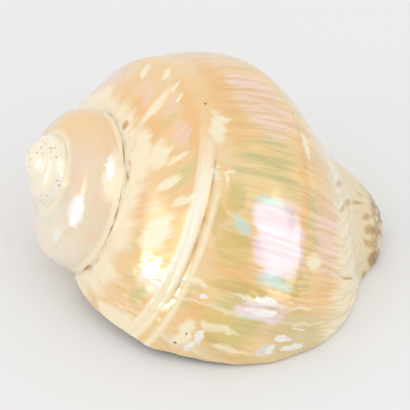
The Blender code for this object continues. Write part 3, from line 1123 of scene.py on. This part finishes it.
def mouth_nacre(colours):
    """The inside and the edge of the mouth: silvery pearl with pink and green."""
    material, board, shader = start_material("mouth nacre")
    growth_map = map_of(board, "growth")[2]
    place = board.add("ShaderNodeTexCoord").outputs["Object"]
    growth_map = board.shifted(place, MOUTH_DRIFT, growth_map)
    tints = add_group(board, bpy.data.node_groups["pearl tints"], Growth=growth_map, Place=place,
                      Peach=colours.silver, Pink=colours.pink, Green=colours.green)
    lines = add_group(board, bpy.data.node_groups["growth lines"], Growth=growth_map)
    streaks = board.rise(lines["Value"], 0.38, 0.62, 0.93, 1.05)
    colour = board.blend(1.0, tints["Color"], board.join(streaks, streaks, streaks), "MULTIPLY")
    board.feed(shader.inputs["Base Color"], colour)
    board.feed(shader.inputs["Roughness"], board.rise(lines["Value"], 0.3, 0.7, 0.16, 0.24))
    shader.inputs["Metallic"].default_value = 0.35
    shader.inputs["Coat Weight"].default_value = 0.4
    shader.inputs["Coat Roughness"].default_value = 0.08
    finish_surface(board, shader, colours, lines["Height"], 0.2)
    return material


def colour_property(name, description, text):
    return FloatVectorProperty(name=name, description=description, default=srgb(text), size=3,
                               min=0.0, max=1.0, subtype="COLOR")


def length_property(name, description, default):
    return FloatProperty(name=name, description=description, default=default, min=0.0,
                         precision=5, unit="LENGTH")


class PearlShellSizes(bpy.types.PropertyGroup):
    """Heights of the fine relief."""
    growth_lines: length_property("Growth lines", "Height of the lines across the winding", 0.00007)
    lip_folds: length_property("Lip folds", "Height of the folds beside the lip", 0.00050)
    groove: length_property("Groove", "Depth of the groove along the ridge", 0.00045)
    crack: length_property("Suture crack", "Depth of the broken line between whorls", 0.00022)
    flakes: length_property("Lobe flakes", "Height of the flaked layers on the lobe", 0.00045)
    pits: length_property("Tip pits", "Depth of the pits in the worn tip", 0.0002)
    lip_edge: length_property("Lip edge", "Radius of the rounded edge of the lip", 0.0011)


class PearlShellColours(bpy.types.PropertyGroup):
    """Colours of the pearl and its markings, and of its painted highlights and shade."""
    peach: colour_property("Peach pearl", "Main colour of the pearl", "F1CC93")
    orange: colour_property("Orange pearl", "Deeper patches of the pearl", "EFBD7B")
    # Gold also paints the shade in the step past each fold's crest beside the lip
    gold: colour_property("Gold pearl", "Olive gold patches near the lip", "D9BC6E")
    pink: colour_property("Pink gleam", "Pink patches of the pearl", "F2CDBE")
    green: colour_property("Green gleam", "Pale green patches of the pearl", "D0C888")
    # Lavender: painted tint of the window light's highlight
    lavender: colour_property("Lavender gleam", "Palest patches, between pink and violet", "F3DBDF")
    # Mint: painted tint at the edges of that highlight
    mint: colour_property("Mint gleam", "Edges of the palest patches", "C4E8DC")
    silver: colour_property("Silver pearl", "Pearl of the spire and of the mouth", "E8D8BC")
    # White: the pale tip, spire and ridge band, and the painted highlights and glints
    white: colour_property("White pearl", "Small patches that shine most", "FBF6EE")
    cream: colour_property("Cream", "Opaque flames and the base", "F7E9C9")
    aged: colour_property("Aged cream", "Streaks on the base", "D9C79C")
    ochre: colour_property("Ochre stain", "Stains on the base and the lobe", "C29850")
    brown: colour_property("Brown dirt", "Dirt in the cracks", "8A6236")
    glow: FloatProperty(name="Glow", description="How much light passes through the wall",
                        default=0.35, min=0.0, max=1.0, subtype="FACTOR")
    metal: FloatProperty(name="Pearl shine", description="How much reflections take the colour",
                         default=0.25, min=0.0, max=1.0, subtype="FACTOR")


class PearlShellStage(bpy.types.PropertyGroup):
    """Floor and light."""
    floor: colour_property("Floor", "Colour of the plain floor", "ECECEC")
    window_power: FloatProperty(name="Window light", description="Power of the light at the right",
                                default=0.56, min=0.0, unit="POWER")
    side_power: FloatProperty(name="Side light", description="Power of the small light at the left",
                              default=0.30, min=0.0, unit="POWER")
    panel_power: FloatProperty(name="Side panel", description="Power of the dim panel at the left",
                               default=0.20, min=0.0, unit="POWER")
    sky: FloatProperty(name="Room light", description="Strength of the even light all round",
                       default=0.96, min=0.0)


class PEARLSHELL_OT_add_shell(bpy.types.Operator):
    """Model the shell and give it its pearl"""
    bl_idname = "pearl_shell.add_shell"
    bl_label = "Add Pearl Shell"
    bl_options = {"REGISTER", "UNDO"}

    def execute(self, context):
        colours = context.scene.pearl_shell_colours
        materials = (outer_nacre(colours), mouth_nacre(colours))
        shell = make_shell(context.scene.pearl_shell_sizes, materials)
        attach(shell, "root")
        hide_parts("shell")
        return {"FINISHED"}


def make_floor(colour):
    bm = bmesh.new()
    bmesh.ops.create_grid(bm, x_segments=1, y_segments=1, size=3.0)
    floor = new_object(bm, "floor")
    material, _, shader = start_material("plain floor")
    shader.inputs["Base Color"].default_value = tuple(colour) + (1.0,)
    shader.inputs["Roughness"].default_value = 0.7
    shader.inputs["Specular IOR Level"].default_value = 0.2
    floor.data.materials.append(material)


def make_light(name, azimuth, elevation, width, height, power):
    """A soft rectangle of light that faces the shell."""
    light = bpy.data.lights.new(name, "AREA")
    light.shape = "RECTANGLE"
    light.size = width
    light.size_y = height
    light.energy = power
    made = bpy.data.objects.new(name, light)
    bpy.context.scene.collection.objects.link(made)
    around, up = math.radians(azimuth), math.radians(elevation)
    out = Vector((math.sin(around) * math.cos(up), -math.cos(around) * math.cos(up), math.sin(up)))
    turned = out.to_track_quat("Z", "Y").to_matrix().to_4x4()
    made.matrix_world = Matrix.Translation(Vector(LIGHT_AIM) + out * LIGHT_DISTANCE) @ turned


def make_world(strength):
    world = bpy.data.worlds.new("studio")
    bpy.context.scene.world = world
    world.use_nodes = True
    background = world.node_tree.nodes["Background"]
    background.inputs["Color"].default_value = (1.0, 1.0, 1.0, 1.0)
    background.inputs["Strength"].default_value = strength


def make_camera():
    camera = bpy.data.cameras.new("camera")
    camera.lens = CAMERA_LENS
    camera.sensor_width = 36.0
    made = bpy.data.objects.new("camera", camera)
    bpy.context.scene.collection.objects.link(made)
    place = Vector(CAMERA_PLACE)
    turned = (Vector(CAMERA_AIM) - place).to_track_quat("-Z", "Y").to_matrix()
    turned = turned @ Matrix.Rotation(math.radians(CAMERA_ROLL), 3, "Z")
    made.matrix_world = Matrix.Translation(place) @ turned.to_4x4()
    bpy.context.scene.camera = made


class PEARLSHELL_OT_add_stage(bpy.types.Operator):
    """Add the plain floor, the soft lights and the camera"""
    bl_idname = "pearl_shell.add_stage"
    bl_label = "Add Stage"
    bl_options = {"REGISTER", "UNDO"}

    def execute(self, context):
        stage = context.scene.pearl_shell_stage
        make_camera()
        make_floor(stage.floor)
        make_world(stage.sky)
        make_light("window light", 40.0, 28.0, 0.42, 0.50, stage.window_power)
        make_light("side light", -59.0, 5.5, 0.16, 0.10, stage.side_power)
        make_light("side panel", -60.0, 22.5, 0.19, 0.28, stage.panel_power)
        context.scene.view_settings.view_transform = "Standard"
        return {"FINISHED"}


class PEARLSHELL_PT_panel(bpy.types.Panel):
    """Lists what can be made"""
    bl_idname = "PEARLSHELL_PT_panel"
    bl_label = "Pearl Turban Shell"
    bl_space_type = "VIEW_3D"
    bl_region_type = "UI"
    bl_category = "Pearl Shell"

    def draw(self, context):
        scene = context.scene
        groups = (scene.pearl_shell_sizes, scene.pearl_shell_colours, scene.pearl_shell_stage)
        for group in groups:
            box = self.layout.box()
            for name in group.__annotations__:
                box.prop(group, name)
        self.layout.operator(PEARLSHELL_OT_add_shell.bl_idname)
        self.layout.operator(PEARLSHELL_OT_add_stage.bl_idname)


CLASSES = (PearlShellSizes, PearlShellColours, PearlShellStage, PEARLSHELL_OT_add_shell,
           PEARLSHELL_OT_add_stage, PEARLSHELL_PT_panel)


def register():
    for item in CLASSES:
        bpy.utils.register_class(item)
    bpy.types.Scene.pearl_shell_sizes = PointerProperty(type=PearlShellSizes)
    bpy.types.Scene.pearl_shell_colours = PointerProperty(type=PearlShellColours)
    bpy.types.Scene.pearl_shell_stage = PointerProperty(type=PearlShellStage)


def unregister():
    del bpy.types.Scene.pearl_shell_stage
    del bpy.types.Scene.pearl_shell_colours
    del bpy.types.Scene.pearl_shell_sizes
    for item in reversed(CLASSES):
        bpy.utils.unregister_class(item)


def main():
    register()
    bpy.ops.pearl_shell.add_shell()
    bpy.ops.pearl_shell.add_stage()


if __name__ == "__main__":
    main()
